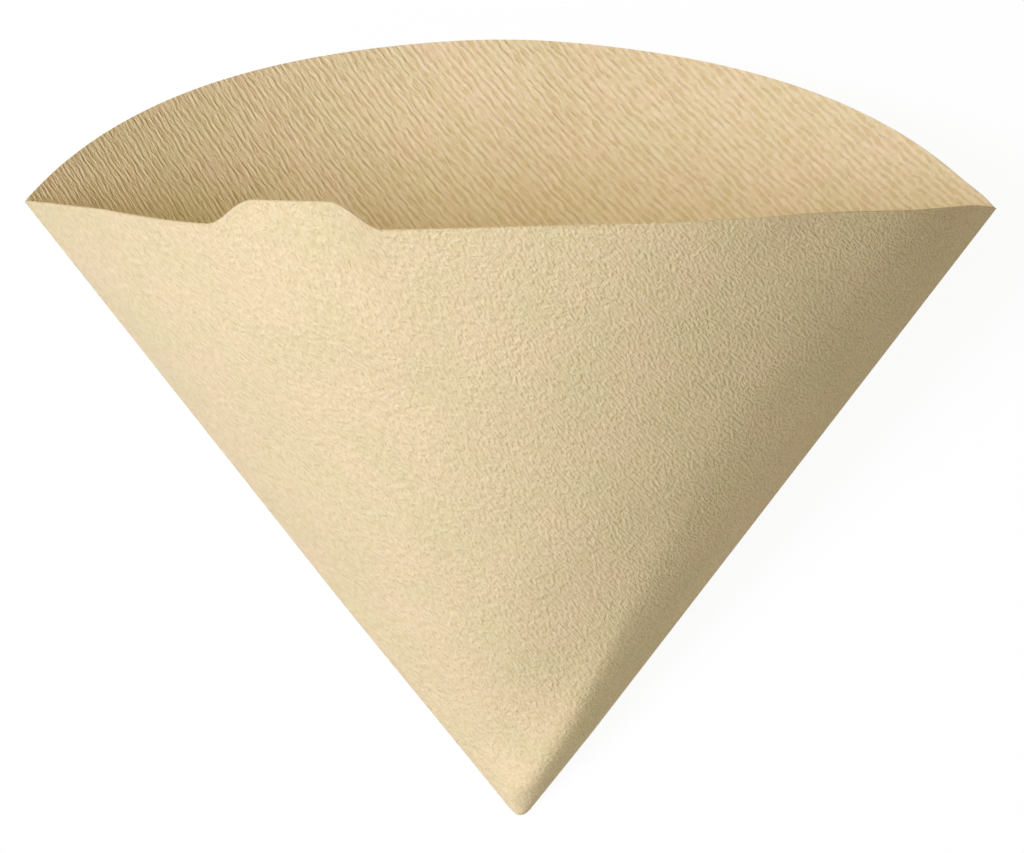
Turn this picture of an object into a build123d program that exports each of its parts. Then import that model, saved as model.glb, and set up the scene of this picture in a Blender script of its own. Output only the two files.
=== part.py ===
from build123d import *
import math
import os

# A paper coffee filter for a cone dripper, opened by hand and lying on its back panel.
# It is one sheet of crepe paper, folded along its left edge and crimped along its right edge.
# It is built upright, with its tip at the origin, its mouth up and its front panel towards -Y,
# and is laid on its back panel at the end. Sizes are in millimetres, angles in degrees.

# The sheet
SLANT = 117.0            # tip to rim, along the paper
PAPER = 0.25             # thickness of one layer
RIM_SHIFT = 2.4          # from the tip to the centre of the rim's curve, towards the folded edge
TIP_CUT = 1.7            # height of the sharp point that the folded tip lacks

# The opened section, across the axis at the gauge height above the tip
GAUGE_HEIGHT = 100.0
HALF_WIDTH = 72.8        # axis to the folded edge, and to the crimped edge
FRONT_SAGITTA = 47.0     # axis to the middle of the front panel
FRONT_FULLNESS = 0.26    # how much fuller than a parabola the front panel bulges
FRONT_LEAN = 0.1         # how much of that bulge leans to the folded edge
BACK_SAGITTA = 46.6      # axis to the flat in the middle of the back panel
BACK_FULLNESS = 0.05
REST_WIDTH = 16.0        # width of that flat, which the filter lies on

# The thumb tab on the front rim
TAB_PLACE = 29.4         # axis to the tab's middle at the gauge height, towards the folded edge
TAB_BASE = 27.0          # width where the tab leaves the rim
TAB_TOP = 10.5           # width of its straight upper edge
TAB_LEAN = 1.8           # how far its upper edge stands towards the crimped edge
TAB_HEIGHT = 5.0         # rim to upper edge, along the paper
TAB_SINK = 0.2           # how far its shoulders start below the rim

# The crimped seam, a strip of two layers folded back behind the right edge
SEAM_PLIES = 2
SEAM_WIDTH = 6.0
SEAM_START = 3.0         # tip to the strip's lower end, along the edge
SEAM_TAPER = 15.0        # length over which it widens from that end
SEAM_TRIM = 4.0          # how far its free corner lies below the rim
SEAM_SPRING = 6.0        # angle at which the strip stands off the back panel
SEAM_BITE = 0.15         # depth that the strip's root shares with the edge

CURVE_STEPS = 6          # points along each half of a panel's curve

FRONT = -1
BACK = 1
BACK_TILT = math.atan2(BACK_SAGITTA, GAUGE_HEIGHT)
CONE_HEIGHT = SLANT + TAB_HEIGHT + RIM_SHIFT
RIM_CENTRE = Vector(-RIM_SHIFT, 0, 0)


def bulge(share, fullness, lean):
    """Height of a panel's curve at a share of the way from its middle to its edge, as part of its sagitta."""
    return (1 - share**2) * (1 + fullness * share**2 - lean * share)


def front_point(x):
    """Point of the front panel's curve at the gauge height."""
    y = FRONT * FRONT_SAGITTA * bulge(x / HALF_WIDTH, FRONT_FULLNESS, FRONT_LEAN)
    return Vector(x, y, GAUGE_HEIGHT)


def back_point(x):
    """Point of the back panel's curve at the gauge height."""
    flat = REST_WIDTH / 2
    share = max(abs(x) - flat, 0) / (HALF_WIDTH - flat)
    return Vector(x, BACK * BACK_SAGITTA * bulge(share, BACK_FULLNESS, 0), GAUGE_HEIGHT)


def even_steps(start, end, count):
    """Evenly spaced values from start to end."""
    return [start + (end - start) * step / count for step in range(count + 1)]


def slope_at(point_of, x, step=0.01):
    """Direction of a panel's curve at x, towards the crimped edge, worked out inside the panel."""
    inner = x - math.copysign(step, x)
    return (point_of(x) - point_of(inner)) * math.copysign(1, x)


def curve_through(point_of, start, end, count, scale):
    """Spline along a panel's curve, scaled from the gauge height to the height of the whole cone."""
    points = [point_of(x) * scale for x in even_steps(start, end, count)]
    return Spline(*points, tangents=[slope_at(point_of, start), slope_at(point_of, end)])


def outer_cone():
    """The space inside the outer faces of both panels, as a cone over the lens that they form."""
    scale = CONE_HEIGHT / GAUGE_HEIGHT
    flat = REST_WIDTH / 2
    flat_left = back_point(-flat) * scale
    flat_right = back_point(flat) * scale
    along = (flat_right - flat_left).normalized()
    left = [back_point(x) * scale for x in even_steps(-HALF_WIDTH, -flat, CURVE_STEPS)]
    right = [back_point(x) * scale for x in even_steps(flat, HALF_WIDTH, CURVE_STEPS)]
    lens = Wire(
        [
            curve_through(front_point, -HALF_WIDTH, HALF_WIDTH, 2 * CURVE_STEPS, scale),
            Spline(*right, tangents=[along, slope_at(back_point, HALF_WIDTH)]),
            Line(flat_left, flat_right),
            Spline(*left, tangents=[slope_at(back_point, -HALF_WIDTH), along]),
        ]
    )
    return Solid.make_loft([Vertex(0, 0, 0), lens], ruled=True)


def above(solid, height):
    """The part of a solid that lies above a height."""
    return split(solid, bisect_by=Plane.XY.offset(height), keep=Keep.TOP)


def rim_distance(direction):
    """Distance from the tip to the rim along a line of the paper."""
    along = direction.dot(RIM_CENTRE)
    return along + math.sqrt(along**2 - RIM_SHIFT**2 + SLANT**2)


def tab_space():
    """Block through the front panel with the tab's outline, which lets the paper pass the rim there."""
    middle = front_point(-TAB_PLACE)
    up = middle.normalized()
    across = front_point(-TAB_PLACE + PAPER) - front_point(-TAB_PLACE - PAPER)
    outward = across.cross(up)
    plane = Plane(origin=up * rim_distance(up), x_dir=across - up * across.dot(up), z_dir=outward)
    half_base = TAB_BASE / 2
    top_left = (TAB_LEAN - TAB_TOP / 2, TAB_HEIGHT)
    top_right = (TAB_LEAN + TAB_TOP / 2, TAB_HEIGHT)
    foot = math.sqrt(SLANT**2 - half_base**2) - SLANT - TAB_SINK
    rim_left = (SLANT, half_base)
    rim_right = (SLANT, -half_base)
    outline = Wire(
        [
            Spline((-half_base, foot), top_left, tangents=[rim_left, (1, 0)]),
            Line(top_left, top_right),
            Spline(top_right, (half_base, foot), tangents=[(1, 0), rim_right]),
            Line((half_base, foot), (half_base, foot - TAB_HEIGHT)),
            Line((half_base, foot - TAB_HEIGHT), (-half_base, foot - TAB_HEIGHT)),
            Line((-half_base, foot - TAB_HEIGHT), (-half_base, foot)),
        ]
    )
    return extrude(plane * Face(outline), amount=half_base / 2, both=True)


def rim_space():
    """Everything that the cut sheet reaches: a ball about the rim's centre, and the tab."""
    return Pos(*RIM_CENTRE) * Sphere(SLANT) + tab_space()


def cone_wall():
    """Both panels and the closed blunt tip, one layer of paper thick."""
    lift = PAPER / math.sin(BACK_TILT)
    outside = above(outer_cone(), TIP_CUT)
    inside = above(Pos(0, 0, lift) * outer_cone(), TIP_CUT + PAPER)
    return (outside & rim_space()) - inside


def seam_strip():
    """The crimped strip, hinged on the right edge and sprung off the back panel."""
    edge = back_point(HALF_WIDTH).normalized()
    inward = slope_at(back_point, HALF_WIDTH) * -1
    inward = (inward - edge * inward.dot(edge)).normalized()
    outward = inward.cross(edge)
    if outward.Y < 0:
        outward = outward * -1
    spring = math.radians(SEAM_SPRING)
    reach = inward * math.cos(spring) + outward * math.sin(spring)
    away = (outward - reach * outward.dot(reach)).normalized()
    plane = Plane(origin=edge * SEAM_START - away * SEAM_BITE, x_dir=edge, z_dir=away)
    side = math.copysign(SEAM_WIDTH, plane.y_dir.dot(reach))
    top = rim_distance(edge) - SEAM_START
    outline = Polyline((0, 0), (top, 0), (top - SEAM_TRIM, side), (SEAM_TAPER, side), close=True)
    strip = extrude(plane * make_face(outline), amount=SEAM_PLIES * PAPER)
    return strip & (Pos(*RIM_CENTRE) * Sphere(SLANT))


def laid_down(filter_upright):
    """The filter turned onto the flat of its back panel, with the middle of its footprint at the origin."""
    lying = Rot(math.degrees(BACK_TILT) - 90, 0, 0) * filter_upright
    middle = lying.bounding_box().center()
    return Pos(-middle.X, -middle.Y, 0) * lying


def sheet_angle(point_of):
    """Angle of a panel when the filter is pressed flat."""
    lines = [point_of(x).normalized() for x in even_steps(-HALF_WIDTH, HALF_WIDTH, 200)]
    return sum(one.get_angle(other) for one, other in zip(lines, lines[1:]))


paper_filter = laid_down(cone_wall() + seam_strip())

print("front panel flat angle", round(sheet_angle(front_point), 2))
print("back panel flat angle", round(sheet_angle(back_point), 2))
print("solids", len(paper_filter.solids()), "volume", round(paper_filter.volume, 1))
print("box", paper_filter.bounding_box())
print("centre of mass", paper_filter.center(CenterOf.MASS))

os.makedirs("parts", exist_ok=True)
export_step(paper_filter, "parts/paper_filter.step")
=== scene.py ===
import math

import bmesh
import bpy
import numpy as np
from mathutils import Matrix, Vector


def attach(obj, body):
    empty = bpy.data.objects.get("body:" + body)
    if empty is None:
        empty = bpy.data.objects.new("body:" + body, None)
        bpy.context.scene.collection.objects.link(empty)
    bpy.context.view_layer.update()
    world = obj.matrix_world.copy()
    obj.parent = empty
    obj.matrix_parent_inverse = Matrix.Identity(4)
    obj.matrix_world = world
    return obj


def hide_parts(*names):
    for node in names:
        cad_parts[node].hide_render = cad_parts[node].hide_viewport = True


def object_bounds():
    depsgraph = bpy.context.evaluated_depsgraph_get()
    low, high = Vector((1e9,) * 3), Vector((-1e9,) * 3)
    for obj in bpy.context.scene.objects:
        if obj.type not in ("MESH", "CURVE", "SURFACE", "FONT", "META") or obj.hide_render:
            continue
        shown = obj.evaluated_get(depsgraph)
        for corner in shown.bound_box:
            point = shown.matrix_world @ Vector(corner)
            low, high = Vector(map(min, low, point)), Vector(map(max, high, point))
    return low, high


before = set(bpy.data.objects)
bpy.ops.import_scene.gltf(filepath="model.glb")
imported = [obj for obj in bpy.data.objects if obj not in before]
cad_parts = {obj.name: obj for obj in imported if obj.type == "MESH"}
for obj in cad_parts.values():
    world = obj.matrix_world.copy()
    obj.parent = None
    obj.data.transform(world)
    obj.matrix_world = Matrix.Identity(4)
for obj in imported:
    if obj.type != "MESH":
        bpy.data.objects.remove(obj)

cad_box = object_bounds()

# A cone coffee filter of unbleached crepe paper, opened and lying on its back panel.
# The sheet is laid out flat first: P runs along the folded edge and Q across it, with the front panel
# at positive Q, the back panel at negative Q and the crimped seam along P = 0.
# It is then rolled onto the opened cone, upright with its tip at the origin, and laid down.

MM = 0.001

# The sheet, in metres
SLANT = 117.0 * MM            # tip to rim, along the paper
PAPER = 0.25 * MM             # thickness of one layer
RIM_SHIFT = 2.4 * MM          # from the tip to the centre of the rim's curve, towards the folded edge
TIP_CUT = 1.7 * MM            # height of the sharp point that the folded tip lacks
TIP_ROUND = 0.5 * MM          # rounding of the blunt tip
CORNER_REACH = 0.6 * MM       # how far the crimped corner reaches past the rim's curve
FRONT_CORNER_SHARE = 0.25     # share of the front panel that runs out to it
BACK_CORNER_SHARE = 0.06      # and of the back panel
FOLD_BOW = 0.7 * MM           # how far the folded edge is drawn in at the tip
FOLD_BOW_RUN = 50.0 * MM      # distance from the tip over which it is

# The opened section, across the axis at the gauge height above the tip
GAUGE_HEIGHT = 100.0 * MM
HALF_WIDTH = 72.8 * MM        # axis to the folded edge, and to the crimped edge
FRONT_SAGITTA = 47.0 * MM     # axis to the middle of the front panel
FRONT_FULLNESS = 0.26         # how much fuller than a parabola the front panel bulges
FRONT_LEAN = 0.1              # how much of that bulge leans to the folded edge
BACK_SAGITTA = 46.6 * MM      # axis to the flat in the middle of the back panel
BACK_FULLNESS = 0.05
REST_WIDTH = 16.0 * MM        # width of that flat, which the filter lies on

# The thumb tab on the front rim
TAB_PLACE = 29.4 * MM         # axis to the tab's middle at the gauge height, towards the folded edge
TAB_BASE = 27.0 * MM
TAB_TOP = 10.5 * MM
TAB_LEAN = 1.8 * MM           # how far its upper edge stands towards the crimped edge
TAB_HEIGHT = 5.0 * MM
TAB_STRETCH = 20.0 * MM       # depth of paper below the rim over which the mesh follows the tab

# The crimped seam behind the right edge
SEAM_LAYERS = 2
SEAM_WIDTH = 6.0 * MM
SEAM_BITE = 0.15 * MM         # how far the strip's root lies inside the edge
SEAM_START = 3.0 * MM         # tip to the strip's lower end
SEAM_TAPER = 15.0 * MM        # length over which it widens from that end
SEAM_TRIM = 4.0 * MM          # how far its free corner lies below the rim
SEAM_SPRING = 6.0             # degrees between the strip and the back panel
SEAM_EASE = 7.0 * MM          # width of front panel that is drawn out to lie flush with the strip
CRIMP_PITCH = 1.6 * MM        # from groove to groove of the crimp
CRIMP_DEPTH = 0.06 * MM

# The crepe and the waves that handling leaves in the sheet
CREPE_PITCH = 1.05 * MM       # from ridge to ridge
INSIDE_RIDGE = 0.05 * MM      # height of the ridges on the sheet's rough side
OUTSIDE_RIDGE = 0.015 * MM    # and on its smooth side
CREPE_TURN = 8.0              # degrees between the ridges and the folded edge
CREPE_BEND = 0.33             # how much the ridges bend round towards the seam
CREPE_BEND_START = 95.0 * MM  # distance from the seam at which they begin to
CREPE_RIM_CALM = 2.0 * MM     # width beside the cut rim over which the ridges flatten out
CREPE_RUN = 2.6 * MM          # how far a ridge runs before it fades or forks
CREPE_DRIFT = 0.8             # how far it wanders to the side, in pitches
CREPE_HEIGHT = 0.65           # its usual height, as a share of its full height
CREPE_FADE = 0.35             # and how much that changes along it
FINE_CREASE = 0.2             # height of the finer creases, as a share of a ridge's
WAVE_RUN = 22.0 * MM          # size of the soft waves
WAVE_HEIGHT = 0.35 * MM
SMALL_WAVE = 0.35             # height of the smaller waves on them, as a share of theirs
TIP_CALM = 12.0 * MM          # distance from the tip within which the paper is pressed smooth
FOLD_CALM = 0.06              # share of a panel beside each edge over which the waves flatten out

# The unevenness of the crepe and the waves, worked out from their sizes
DRIFT_WIDTH = 3 * CREPE_PITCH
FADE_WIDTH = 2 * CREPE_PITCH
FADE_RUN = 0.7 * CREPE_RUN
FINE_PITCH = 0.7 * CREPE_PITCH
FINE_RUN = 0.6 * CREPE_RUN
SMALL_WAVE_RUN = 0.4 * WAVE_RUN
BEND_RATE = CREPE_BEND / (2 * SLANT)
FULL_PAPER = TIP_CALM / 2     # distance from the tip at which the paper has its full thickness
NOISE_CELLS = 256             # cells after which a noise repeats
WAVE_SHIFT = 40               # cells by which the waves are shifted
DRIFT_SEED, FADE_SEED, FINE_SEED, WAVE_SEED, SMALL_WAVE_SEED = range(11, 16)

# The stiff band that the folded seam makes along the right edge of the front panel
BAND_NARROW = 4.0 * MM        # its width at the tip
BAND_SPREAD = 0.29            # and how fast it widens along the edge
BAND_RISE = 1.7 * MM          # how far its inner side stands out near the tip
BAND_DENT = 1.9 * MM          # how far the panel beside it is pressed in there
BAND_DENT_RUN = 11.0 * MM     # from the band's crease to the deepest part
BAND_START = 9.0 * MM         # from the tip to where the dent is full
BAND_FADE = 66.0 * MM         # distance from the tip over which it softens away

# The mesh of the sheet
PANEL_LINES = 801             # lines from the tip that a panel's curve is measured along
COLUMNS = 740                 # grid cells across the crepe, three or so to a ridge
PANEL_ROWS = 58               # grid cells along the crepe
SEAM_ROWS = 3
ROW_CROWDING = 1.6            # above 1, rows crowd towards the seam
LAST_COLUMN = 0.9995          # share of the slant at which the outermost column lies
MERGE_GAP = 0.005 * MM        # points closer than this become one
SHEET_MAP = "flat_sheet"      # name of its UV map

# The look of the paper
CLOUD_SIZE = 10.0 * MM        # of the faint changes of tint
CLOUD_SPAN = (0.35, 0.65)     # stretch of the clouds over which the tint changes
PULP_SIZE = 1.4 * MM
PULP_SPAN = (0.3, 0.62)       # stretch of the pulp over which its tone changes
PULP_TONE = "F9F6F1"
WHITE = "FFFFFF"
FLECK_ROUGHNESS = 0.55        # how strong the finer flecks in each pattern are
GRAIN_LENGTH = 0.95 * MM      # of the outside's fine grain
GRAIN_WIDTH = 0.45 * MM
GRAIN_TURN = 13.0             # degrees between it and the folded edge
GRAIN_DEPTH = 0.32 * MM
RIDGE_DEPTH = 0.12 * MM       # of the inside's ridges
RIDGE_DRIFT = 4.5             # how much they wander
RIDGE_SPAN = (0.3, 0.65)      # stretch of the noise over which they come and go
FAINT_RIDGE = 0.1             # strength of a ridge where it fades most
FLAT_PAPER = 0.5              # height of paper without a ridge, between a valley and a crest
ONE_RIDGE = math.pi / 10      # scale at which the wave pattern has one ridge to each unit
FIBRE_SIZE = 0.45 * MM        # of the outside's fibres, drawn coarse enough to show
FIBRE_DEPTH = 0.12 * MM
FIBRE_STRENGTH = 0.9
DASH_LENGTH = 0.9 * MM        # of the short creases between the inside's ridges
DASH_WIDTH = 0.4 * MM
DASH_DEPTH = 0.2 * MM
PRESSED_WIDTH = 16.0 * MM     # width beside the seam that the crimp presses smooth
PRESSED_SHARE = 0.15          # share of the pattern's depth that is left at the seam
COLOUR_A, COLOUR_B, COLOUR_RESULT = 6, 7, 2   # the mix node's sockets for colours
NUMBER_A, NUMBER_B, NUMBER_RESULT = 2, 3, 0   # and for numbers

# The camera, set against the upright cone as the paper is
VIEW_ELEVATION = 18.07        # degrees above the mouth's plane
VIEW_AZIMUTH = -0.16          # degrees round the cone's axis
VIEW_ROLL = -0.34             # degrees
VIEW_DISTANCE = 8.0 * SLANT
VIEW_AIM = Vector((-0.0052, 0.0, 0.45)) * SLANT   # a place inside the cone, close to its axis
VIEW_RISE = 0.0725 * SLANT    # aim moved up in the picture
PIXELS_PER_SLANT = 810.9      # at the aim's distance
PICTURE_WIDTH = 1024
SENSOR_WIDTH = 36.0           # millimetres
VIEW_DEPTH = 10.0             # metres that the camera sees

# The stage
LAMP_DISTANCE = 1.0           # metres from the middle of the filter
LAMP_SIZE = 0.4               # metres along each side
FLOOR_REACH = 1.5             # metres from the floor's middle to its sides
FLOOR_GLOW = 0.95             # share of the floor's look that is plain white, the rest shows its shadow
FLOOR_DROP = 0.2 * MM         # gap under the filter

BACK_TILT = math.atan2(BACK_SAGITTA, GAUGE_HEIGHT)
RIM_CENTRE = np.array([-RIM_SHIFT, 0.0, 0.0])


def smooth_step(value):
    """Eased rise from 0 to 1 as value goes from 0 to 1."""
    share = np.clip(value, 0.0, 1.0)
    return share * share * (3.0 - 2.0 * share)


def soft_noise(u, v, seed):
    """Smooth noise from -1 to 1, with about one bump to each unit square."""
    lattice = np.random.default_rng(seed).uniform(-1.0, 1.0, (NOISE_CELLS, NOISE_CELLS))
    cell_u = np.floor(u).astype(int)
    cell_v = np.floor(v).astype(int)
    share_u = smooth_step(u - cell_u)
    share_v = smooth_step(v - cell_v)
    left = cell_u % NOISE_CELLS
    right = (cell_u + 1) % NOISE_CELLS
    low = cell_v % NOISE_CELLS
    high = (cell_v + 1) % NOISE_CELLS
    bottom = lattice[left, low] + (lattice[right, low] - lattice[left, low]) * share_u
    top = lattice[left, high] + (lattice[right, high] - lattice[left, high]) * share_u
    return bottom + (top - bottom) * share_v


def bulge(share, fullness, lean):
    """Height of a panel's curve, as part of its sagitta, at a share of the way from middle to edge."""
    return (1 - share**2) * (1 + fullness * share**2 - lean * share)


def front_y(x):
    """The front panel's curve at the gauge height."""
    return -FRONT_SAGITTA * bulge(x / HALF_WIDTH, FRONT_FULLNESS, FRONT_LEAN)


def back_y(x):
    """The back panel's curve at the gauge height."""
    flat = REST_WIDTH / 2
    share = np.maximum(np.abs(x) - flat, 0) / (HALF_WIDTH - flat)
    return BACK_SAGITTA * bulge(share, BACK_FULLNESS, 0)


def unit(vectors):
    """Vectors scaled to length one."""
    return vectors / np.linalg.norm(vectors, axis=-1, keepdims=True)


class Panel:
    """One panel of the opened cone: its straight lines from the tip, by their angle in the flat sheet."""

    def __init__(self, curve, side):
        self.x = np.linspace(-HALF_WIDTH, HALF_WIDTH, PANEL_LINES)
        gauge = np.full_like(self.x, GAUGE_HEIGHT)
        self.lines = unit(np.stack([self.x, curve(self.x), gauge], axis=1))
        steps = np.linalg.norm(np.diff(self.lines, axis=0), axis=1)
        self.angles = np.concatenate([[0.0], np.cumsum(steps)])
        self.across = unit(np.gradient(self.lines, self.angles, axis=0))
        outward = np.cross(self.lines, self.across)
        self.outward = outward * np.sign(outward[PANEL_LINES // 2, 1]) * side

    def spread(self, share, values):
        """Values at a share of the panel's angle, from the folded edge to the crimped edge."""
        angle = share * self.angles[-1]
        return np.stack([np.interp(angle, self.angles, column) for column in values.T], axis=1)

    def share_at(self, x):
        """Share of the panel's angle at a place across the gauge height."""
        return np.interp(x, self.x, self.angles) / self.angles[-1]


FRONT = Panel(front_y, -1)
BACK = Panel(back_y, 1)


def rim_distance(lines):
    """Distance from the tip to the rim along lines of the paper."""
    along = lines @ RIM_CENTRE
    return along + np.sqrt(along**2 - RIM_SHIFT**2 + SLANT**2)


def tab_rise(share):
    """How far the front rim rises above its plain curve, by the share of the panel's angle."""
    along = (share - FRONT.share_at(-TAB_PLACE)) * FRONT.angles[-1] * SLANT
    half_base = TAB_BASE / 2
    left_shoulder = half_base - TAB_TOP / 2 + TAB_LEAN
    right_shoulder = half_base - TAB_TOP / 2 - TAB_LEAN
    left = smooth_step((half_base + along) / left_shoulder)
    right = smooth_step((half_base - along) / right_shoulder)
    return TAB_HEIGHT * left * right


def seam_share(q):
    """How much of its full width the crimped strip has, by the distance from the tip along the edge."""
    return np.clip((np.abs(q) - SEAM_START) / SEAM_TAPER, 0, 1)


def flat_places(row, column):
    """P and Q of grid points: rows go from 0 to 1 towards the rim, columns from -1 to 1 across the crepe."""
    q = column * SLANT * LAST_COLUMN
    reach = np.sqrt(SLANT**2 - q**2)
    strip_rows = SEAM_ROWS / (SEAM_ROWS + PANEL_ROWS)
    panel = np.clip((row - strip_rows) / (1 - strip_rows), 0, 1) ** ROW_CROWDING
    strip = np.clip((strip_rows - row) / strip_rows, 0, 1)
    return panel * reach - strip * SEAM_WIDTH * seam_share(q), q


def crepe_ridges(p, q):
    """The crepe, from about -1 to 1: ridges that run near the direction of P and wander, fade and fork."""
    turn = math.radians(CREPE_TURN)
    along = p * math.cos(turn) + np.abs(q) * math.sin(turn)
    bend = BEND_RATE * np.maximum(CREPE_BEND_START - p, 0) ** 2
    across = np.abs(q) * math.cos(turn) - p * math.sin(turn) - bend
    drift = CREPE_DRIFT * soft_noise(along / CREPE_RUN, across / DRIFT_WIDTH, DRIFT_SEED)
    ridge = np.sin(2 * math.pi * (across / CREPE_PITCH + drift))
    strength = CREPE_HEIGHT + CREPE_FADE * soft_noise(along / CREPE_RUN, across / FADE_WIDTH, FADE_SEED)
    fine = soft_noise(along / FINE_RUN, across / FINE_PITCH, FINE_SEED)
    from_rim = smooth_step((SLANT - np.hypot(p, q)) / CREPE_RIM_CALM)
    return (ridge * strength + FINE_CREASE * fine) * from_rim


def wave_height(p, q):
    """Height of the soft waves in the front panel."""
    large = soft_noise(p / WAVE_RUN + WAVE_SHIFT, q / WAVE_RUN + WAVE_SHIFT, WAVE_SEED)
    small = soft_noise(p / SMALL_WAVE_RUN + WAVE_SHIFT, q / SMALL_WAVE_RUN + WAVE_SHIFT, SMALL_WAVE_SEED)
    return WAVE_HEIGHT * (large + SMALL_WAVE * small)


def band_height(p, q):
    """Height of the stiff band, less the dent in the front panel beside it, with a crease between."""
    width = BAND_NARROW + BAND_SPREAD * np.maximum(q, 0)
    beside = np.maximum(p - width, 0) / BAND_DENT_RUN
    rise = BAND_RISE * np.clip(p / width, 0, 1) * np.exp(-beside)
    dent = BAND_DENT * beside * np.exp(1 - beside)
    near_tip = smooth_step(q / BAND_START) * (1 - smooth_step(q / BAND_FADE))
    return (rise - dent) * near_tip


def seam_axes():
    """Directions of the crimped strip: along the edge, across the strip, and out of it."""
    edge = BACK.lines[-1]
    inward = -BACK.across[-1]
    outward = BACK.outward[-1]
    spring = math.radians(SEAM_SPRING)
    reach = inward * math.cos(spring) + outward * math.sin(spring)
    away = outward * math.cos(spring) - inward * math.sin(spring)
    return edge, reach, away


def panel_reach(radius, share, front, lines):
    """Distance of the sheet's points from the tip, with the tab and the crimped corner drawn out."""
    tab = tab_rise(share) * smooth_step((radius - SLANT + TAB_STRETCH) / TAB_STRETCH)
    corner_share = np.where(front, FRONT_CORNER_SHARE, BACK_CORNER_SHARE)
    corner = CORNER_REACH * smooth_step((share - 1 + corner_share) / corner_share)
    return radius * (rim_distance(lines) + corner) / SLANT + tab * front


def panel_lift(p, q, share, front, inside):
    """Height of the paper's two sides over the plain cone: waves, stiff band, ridges and thickness."""
    radius = np.hypot(p, q)
    from_tip = smooth_step(radius / TIP_CALM)
    from_folds = smooth_step(share / FOLD_CALM) * smooth_step((1 - share) / FOLD_CALM)
    form = (wave_height(p, q) * from_tip * from_folds + band_height(p, q)) * front
    ridges = crepe_ridges(p, q) * from_tip
    outer = form + OUTSIDE_RIDGE * ridges * from_folds * front
    inner = form - (PAPER - INSIDE_RIDGE * ridges) * smooth_step(radius / FULL_PAPER)
    return np.where(inside, inner, outer)


def rolled_panels(p, q, inside):
    """Places of the flat sheet's points on the opened cone, upright with the tip at the origin."""
    share = np.abs(np.arctan2(q, np.maximum(p, 0.0))) / (math.pi / 2)
    front = q >= 0
    on_front = front[:, None]
    lines = unit(np.where(on_front, FRONT.spread(share, FRONT.lines), BACK.spread(share, BACK.lines)))
    outward = np.where(on_front, FRONT.spread(share, FRONT.outward), BACK.spread(share, BACK.outward))
    distance = panel_reach(np.hypot(p, q), share, front, lines)
    lift = panel_lift(p, q, share, front, inside)
    flush = (SEAM_LAYERS * PAPER - SEAM_BITE) * (1 - smooth_step(p / SEAM_EASE)) * seam_share(q) * front
    away = seam_axes()[2]
    places = lines * distance[:, None] + outward * lift[:, None] + away * flush[:, None]
    places[:, 0] += FOLD_BOW * (1 - share) * (1 - smooth_step(distance / FOLD_BOW_RUN))
    tip = np.where(inside, TIP_CUT + PAPER, TIP_CUT)
    height = places[:, 2] - tip
    places[:, 2] = tip + (height + np.hypot(height, TIP_ROUND)) / 2
    return places


def folded_seam(p, q, inside):
    """Places of the crimped strip, folded back behind the right edge in two layers."""
    edge, reach, away = seam_axes()
    layer = PAPER * (1 + np.sign(q) * (1 - inside)) - SEAM_BITE
    crimp = CRIMP_DEPTH * np.sin(2 * math.pi * q / CRIMP_PITCH) * smooth_step(-2 * p / SEAM_WIDTH)
    near_rim = smooth_step((np.abs(q) - SLANT + TAB_STRETCH) / TAB_STRETCH)
    trim = SEAM_TRIM * -p / SEAM_WIDTH * near_rim
    distance = np.abs(q) * (rim_distance(edge[None, :])[0] + CORNER_REACH) / SLANT - trim
    lift = (layer + crimp) * seam_share(q)
    return edge * distance[:, None] - reach * p[:, None] + away * lift[:, None]


def lay_down():
    """Turn and move from the upright cone to the frame, where it lies on the flat of its back panel."""
    left_corner = FRONT.lines[0] * rim_distance(FRONT.lines)[0]
    turn = Matrix.Rotation(BACK_TILT - math.pi / 2, 4, "X")
    return Matrix.Translation((cad_box[0][0] - left_corner[0], cad_box[1][1] - SLANT, 0.0)) @ turn


def paper_sheet():
    """The whole sheet as one mesh, with the flat sheet's P and Q in metres as its UV map."""
    mesh = bmesh.new()
    bmesh.ops.create_grid(mesh, x_segments=COLUMNS, y_segments=SEAM_ROWS + PANEL_ROWS, size=1.0)
    slab_thickness = 1.0
    bmesh.ops.solidify(mesh, geom=mesh.faces[:], thickness=slab_thickness)
    mesh.verts.index_update()
    slab = np.array([vertex.co for vertex in mesh.verts])
    inside = np.abs(slab[:, 2]) > slab_thickness / 2
    p, q = flat_places((slab[:, 1] + 1) / 2, slab[:, 0])
    in_strip = (p < 0)[:, None]
    places = np.where(in_strip, folded_seam(p, q, inside), rolled_panels(p, q, inside))
    flat = mesh.loops.layers.uv.new(SHEET_MAP)
    for vertex, place in zip(mesh.verts, places):
        vertex.co = place
    for face in mesh.faces:
        corners = [loop.vert.index for loop in face.loops]
        cut_edge = inside[corners].any() and not inside[corners].all()
        face.smooth = not cut_edge
        face.material_index = int(inside[corners].all())
        for edge in face.edges:
            edge.smooth = edge.smooth and not cut_edge
        for loop, corner in zip(face.loops, corners):
            loop[flat].uv = (p[corner], q[corner])
    bmesh.ops.transform(mesh, matrix=lay_down(), verts=mesh.verts)
    bmesh.ops.remove_doubles(mesh, verts=mesh.verts, dist=MERGE_GAP)
    bmesh.ops.recalc_face_normals(mesh, faces=mesh.faces)
    return mesh


def linear(hex_colour):
    """Linear RGBA of an sRGB hex colour."""
    channels = [int(hex_colour[start:start + 2], 16) / 255 for start in (0, 2, 4)]
    return [c / 12.92 if c <= 0.04045 else ((c + 0.055) / 1.055) ** 2.4 for c in channels] + [1.0]


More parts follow.
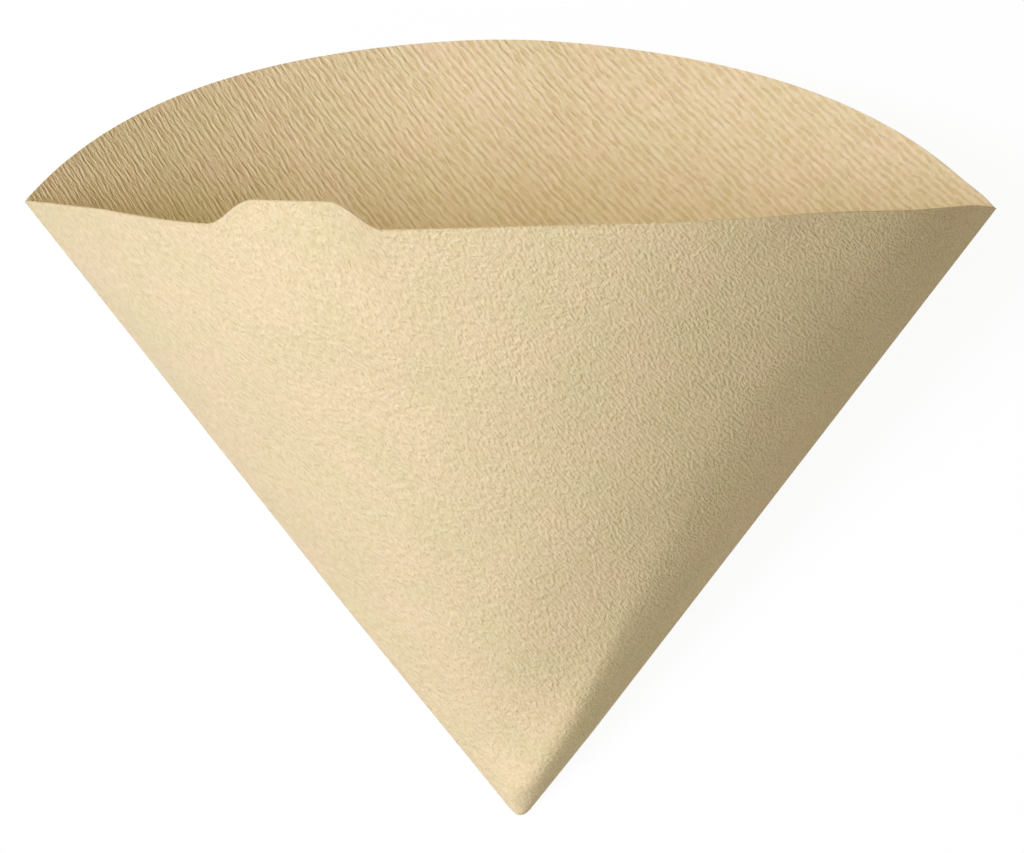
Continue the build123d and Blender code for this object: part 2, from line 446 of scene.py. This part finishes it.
def add_node(tree, kind, settings=None, inputs=None, links=None, stops=()):
    """A node with its settings, input values, links from other nodes' outputs and colour stops."""
    node = tree.nodes.new(kind)
    for name, value in (settings or {}).items():
        setattr(node, name, value)
    for name, value in (inputs or {}).items():
        node.inputs[name].default_value = value
    for name, output in (links or {}).items():
        tree.links.new(output, node.inputs[name])
    for index, (position, colour) in enumerate(stops):
        node.color_ramp.elements[index].position = position
        node.color_ramp.elements[index].color = linear(colour)
    return node


def pulp_flecks(tree, sheet, length, width, detail, turn=0.0):
    """Soft flecks, with a length along the crepe and a width across it, turned by an angle in degrees."""
    values = {"Scale": (length, width, 1.0), "Rotation": (0.0, 0.0, math.radians(turn))}
    space = add_node(tree, "ShaderNodeMapping", {"vector_type": "TEXTURE"}, values, {"Vector": sheet})
    values = {"Scale": 1.0, "Detail": detail, "Roughness": FLECK_ROUGHNESS}
    links = {"Vector": space.outputs["Vector"]}
    return add_node(tree, "ShaderNodeTexNoise", {"noise_dimensions": "2D"}, values, links).outputs["Fac"]


def fine_grain(tree, sheet):
    """The outside's grain: short grains that lean across the crepe."""
    return pulp_flecks(tree, sheet, GRAIN_LENGTH, GRAIN_WIDTH, detail=3.0, turn=GRAIN_TURN)


def bent_sheet(tree, sheet):
    """The flat sheet with Q shifted, so that the ridges bend round towards the seam."""
    place = add_node(tree, "ShaderNodeSeparateXYZ", links={"Vector": sheet})
    links = {1: place.outputs["X"]}
    nearer = add_node(tree, "ShaderNodeMath", {"operation": "SUBTRACT"}, {0: CREPE_BEND_START}, links)
    links = {0: nearer.outputs["Value"]}
    within = add_node(tree, "ShaderNodeMath", {"operation": "MAXIMUM"}, {1: 0.0}, links)
    links = {0: within.outputs["Value"]}
    square = add_node(tree, "ShaderNodeMath", {"operation": "POWER"}, {1: 2.0}, links)
    links = {0: square.outputs["Value"], 2: place.outputs["Y"]}
    shifted = add_node(tree, "ShaderNodeMath", {"operation": "MULTIPLY_ADD"}, {1: BEND_RATE}, links)
    links = {"X": place.outputs["X"], "Y": shifted.outputs["Value"]}
    return add_node(tree, "ShaderNodeCombineXYZ", links=links).outputs["Vector"]


def short_ridges(tree, sheet):
    """The inside's ridges: even waves across the crepe that wander, fade and fork."""
    bent = bent_sheet(tree, sheet)
    values = {"Scale": (CREPE_RUN, CREPE_PITCH, 1.0), "Rotation": (0.0, 0.0, -math.radians(CREPE_TURN))}
    space = add_node(tree, "ShaderNodeMapping", {"vector_type": "TEXTURE"}, values, {"Vector": bent})
    values = {"Scale": ONE_RIDGE, "Distortion": RIDGE_DRIFT, "Detail": 3.0, "Detail Scale": 1 / ONE_RIDGE}
    links = {"Vector": space.outputs["Vector"]}
    waves = add_node(tree, "ShaderNodeTexWave", {"bands_direction": "Y"}, values, links)
    patches = pulp_flecks(tree, bent, FADE_RUN, FADE_WIDTH, detail=1.0, turn=-CREPE_TURN)
    values = {"From Min": RIDGE_SPAN[0], "From Max": RIDGE_SPAN[1], "To Min": FAINT_RIDGE, "To Max": 1.0}
    strength = add_node(tree, "ShaderNodeMapRange", inputs=values, links={"Value": patches})
    links = {"Factor": strength.outputs["Result"], NUMBER_B: waves.outputs["Fac"]}
    ridges = add_node(tree, "ShaderNodeMix", {"data_type": "FLOAT"}, {NUMBER_A: FLAT_PAPER}, links)
    return ridges.outputs[NUMBER_RESULT]


def felted_fibres(tree, sheet):
    """Fibres that lie every way, as on the outside."""
    return pulp_flecks(tree, sheet, FIBRE_SIZE, FIBRE_SIZE, detail=2.0)


def short_dashes(tree, sheet):
    """Fibres that the crepe has gathered into short creases, as on the inside."""
    bent = bent_sheet(tree, sheet)
    return pulp_flecks(tree, bent, DASH_LENGTH, DASH_WIDTH, detail=4.0, turn=-CREPE_TURN)


def crepe_paper(name, tints, pattern, depth, span, valley_painted_shade, fibres, fibre_depth):
    """Unbleached wood pulp, creped while wet: matte and warm, with a raised pattern, fibres and clouds, and
    painted shade darkening the pattern's valleys.
    """
    material = bpy.data.materials.new(name)
    material.use_nodes = True
    tree = material.node_tree
    shader = tree.nodes["Principled BSDF"]
    shader.inputs["Roughness"].default_value = 0.92
    shader.inputs["IOR"].default_value = 1.45
    sheet = add_node(tree, "ShaderNodeUVMap", {"uv_map": SHEET_MAP}).outputs["UV"]
    clouds = pulp_flecks(tree, sheet, CLOUD_SIZE, CLOUD_SIZE, detail=2.0)
    pulp = pulp_flecks(tree, sheet, PULP_SIZE, PULP_SIZE, detail=4.0)
    height = pattern(tree, sheet)
    stops = zip(CLOUD_SPAN, tints)
    tint = add_node(tree, "ShaderNodeValToRGB", links={"Fac": clouds}, stops=stops)
    stops = zip(PULP_SPAN, (PULP_TONE, WHITE))
    tone = add_node(tree, "ShaderNodeValToRGB", links={"Fac": pulp}, stops=stops)
    # Painted shade: the base colour darkens towards the valley colour where the pattern is low, standing in
    # for shade in its hollows.
    stops = zip(span, (valley_painted_shade, WHITE))
    shade = add_node(tree, "ShaderNodeValToRGB", links={"Fac": height}, stops=stops)
    product = {"data_type": "RGBA", "blend_type": "MULTIPLY"}
    links = {COLOUR_A: tint.outputs["Color"], COLOUR_B: tone.outputs["Color"]}
    toned = add_node(tree, "ShaderNodeMix", product, {"Factor": 1.0}, links)
    links = {COLOUR_A: toned.outputs[COLOUR_RESULT], COLOUR_B: shade.outputs["Color"]}
    shaded = add_node(tree, "ShaderNodeMix", product, {"Factor": 1.0}, links)
    tree.links.new(shaded.outputs[COLOUR_RESULT], shader.inputs["Base Color"])
    beside_seam = add_node(tree, "ShaderNodeSeparateXYZ", links={"Vector": sheet}).outputs["X"]
    pressed = add_node(
        tree, "ShaderNodeMapRange",
        inputs={"From Min": 0.0, "From Max": PRESSED_WIDTH, "To Min": PRESSED_SHARE, "To Max": 1.0},
        links={"Value": beside_seam},
    )
    pattern_bump = add_node(
        tree, "ShaderNodeBump", inputs={"Distance": depth},
        links={"Height": height, "Strength": pressed.outputs["Result"]},
    )
    fibre_bump = add_node(
        tree, "ShaderNodeBump", inputs={"Strength": FIBRE_STRENGTH, "Distance": fibre_depth},
        links={"Height": fibres(tree, sheet), "Normal": pattern_bump.outputs["Normal"]},
    )
    tree.links.new(fibre_bump.outputs["Normal"], shader.inputs["Normal"])
    return material


def paper_filter():
    """The filter as one piece, with the smooth side of the paper outside and its rough side inside."""
    mesh = bpy.data.meshes.new("paper_filter_sheet")
    sheet = paper_sheet()
    sheet.to_mesh(mesh)
    sheet.free()
    piece = bpy.data.objects.new("paper_filter_sheet", mesh)
    bpy.context.scene.collection.objects.link(piece)
    # Each side's valley colour is painted shade, laid into the hollows of its pattern.
    smooth = {
        "tints": ("E7D5A6", "ECD5AA"), "pattern": fine_grain, "depth": GRAIN_DEPTH,
        "span": (0.3, 0.6), "valley_painted_shade": "F7F3EB",
        "fibres": felted_fibres, "fibre_depth": FIBRE_DEPTH,
    }
    rough = {
        "tints": ("E8D5AC", "ECD5B0"), "pattern": short_ridges, "depth": RIDGE_DEPTH,
        "span": (0.2, 0.7), "valley_painted_shade": "F1E9D9",
        "fibres": short_dashes, "fibre_depth": DASH_DEPTH,
    }
    mesh.materials.append(crepe_paper("crepe_paper_smooth_side", **smooth))
    mesh.materials.append(crepe_paper("crepe_paper_rough_side", **rough))
    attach(piece, "root")
    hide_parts("paper_filter")


def seen(tree):
    """One where a surface is seen, also in a mirror or through glass, and none where it lights others."""
    path = add_node(tree, "ShaderNodeLightPath")
    links = {0: path.outputs["Is Camera Ray"], 1: path.outputs["Is Glossy Ray"]}
    direct = add_node(tree, "ShaderNodeMath", {"operation": "MAXIMUM"}, links=links)
    links = {0: direct.outputs["Value"], 1: path.outputs["Is Transmission Ray"]}
    return add_node(tree, "ShaderNodeMath", {"operation": "MAXIMUM"}, links=links).outputs["Value"]


def white_paper_floor():
    """A white sheet under the filter, bright to the camera and still holding its soft shadow."""
    mesh = bmesh.new()
    bmesh.ops.create_grid(mesh, x_segments=1, y_segments=1, size=FLOOR_REACH)
    bmesh.ops.translate(mesh, vec=(0, 0, -FLOOR_DROP), verts=mesh.verts)
    floor_mesh = bpy.data.meshes.new("floor")
    mesh.to_mesh(floor_mesh)
    mesh.free()
    floor = bpy.data.objects.new("floor", floor_mesh)
    bpy.context.scene.collection.objects.link(floor)
    material = bpy.data.materials.new("white_floor")
    material.use_nodes = True
    tree = material.node_tree
    shader = tree.nodes["Principled BSDF"]
    shader.inputs["Base Color"].default_value = linear("F2F2F2")
    shader.inputs["Roughness"].default_value = 0.9
    shader.inputs["Specular IOR Level"].default_value = 0.0
    glow = add_node(tree, "ShaderNodeEmission", inputs={"Color": linear(WHITE), "Strength": 1.0})
    links = {0: seen(tree)}
    whiteness = add_node(tree, "ShaderNodeMath", {"operation": "MULTIPLY"}, {1: FLOOR_GLOW}, links)
    mixed = add_node(tree, "ShaderNodeMixShader", links={0: whiteness.outputs["Value"]})
    tree.links.new(shader.outputs["BSDF"], mixed.inputs[1])
    tree.links.new(glow.outputs["Emission"], mixed.inputs[2])
    tree.links.new(mixed.outputs["Shader"], tree.nodes["Material Output"].inputs["Surface"])
    floor_mesh.materials.append(material)


def studio_world():
    """Soft warm light from all round, and white where the camera looks past the floor."""
    world = bpy.data.worlds.new("studio")
    bpy.context.scene.world = world
    world.use_nodes = True
    tree = world.node_tree
    surround = tree.nodes["Background"]
    surround.inputs["Color"].default_value = linear("FFE04D")
    surround.inputs["Strength"].default_value = 0.11
    white = add_node(tree, "ShaderNodeBackground", inputs={"Color": linear(WHITE), "Strength": 1.0})
    mixed = add_node(tree, "ShaderNodeMixShader", links={0: seen(tree)})
    tree.links.new(surround.outputs["Background"], mixed.inputs[1])
    tree.links.new(white.outputs["Background"], mixed.inputs[2])
    tree.links.new(mixed.outputs["Shader"], tree.nodes["World Output"].inputs["Surface"])


def soft_box(name, direction, watts, colour):
    """A square studio lamp that shines on the middle of the filter from a direction."""
    lamp = bpy.data.lights.new(name, "AREA")
    lamp.shape = "SQUARE"
    lamp.size = LAMP_SIZE
    lamp.energy = watts
    lamp.color = linear(colour)[:3]
    holder = bpy.data.objects.new(name, lamp)
    bpy.context.scene.collection.objects.link(holder)
    aim = (Vector(cad_box[0]) + Vector(cad_box[1])) / 2
    away = Vector(direction).normalized()
    turn = away.to_track_quat("Z", "Y").to_matrix().to_4x4()
    holder.matrix_world = Matrix.Translation(aim + away * LAMP_DISTANCE) @ turn


def camera():
    """The camera at the photograph's angle, looking down on the lying filter from the front of the cone."""
    data = bpy.data.cameras.new("camera")
    data.sensor_width = SENSOR_WIDTH
    data.lens = PIXELS_PER_SLANT / SLANT * VIEW_DISTANCE / PICTURE_WIDTH * SENSOR_WIDTH
    data.clip_end = VIEW_DEPTH
    holder = bpy.data.objects.new("camera", data)
    bpy.context.scene.collection.objects.link(holder)
    azimuth = math.radians(VIEW_AZIMUTH)
    elevation = math.radians(VIEW_ELEVATION)
    turn = Matrix.Rotation(azimuth, 3, "Z") @ Matrix.Rotation(math.pi / 2 - elevation, 3, "X")
    turn = turn @ Matrix.Rotation(math.radians(VIEW_ROLL), 3, "Z")
    place = VIEW_AIM + turn @ Vector((0.0, VIEW_RISE, VIEW_DISTANCE))
    holder.matrix_world = lay_down() @ Matrix.Translation(place) @ turn.to_4x4()
    bpy.context.scene.camera = holder


paper_filter()
white_paper_floor()
studio_world()
soft_box("key", direction=(-0.4, -0.1, 0.91), watts=11.6, colour="CCD6FF")
soft_box("top", direction=(-0.2, 0.05, 0.98), watts=3.2, colour="FFF580")
soft_box("fill", direction=(-0.65, -0.5, 0.57), watts=2.5, colour="E8ECFF")
camera()
bpy.context.scene.view_settings.view_transform = "Standard"
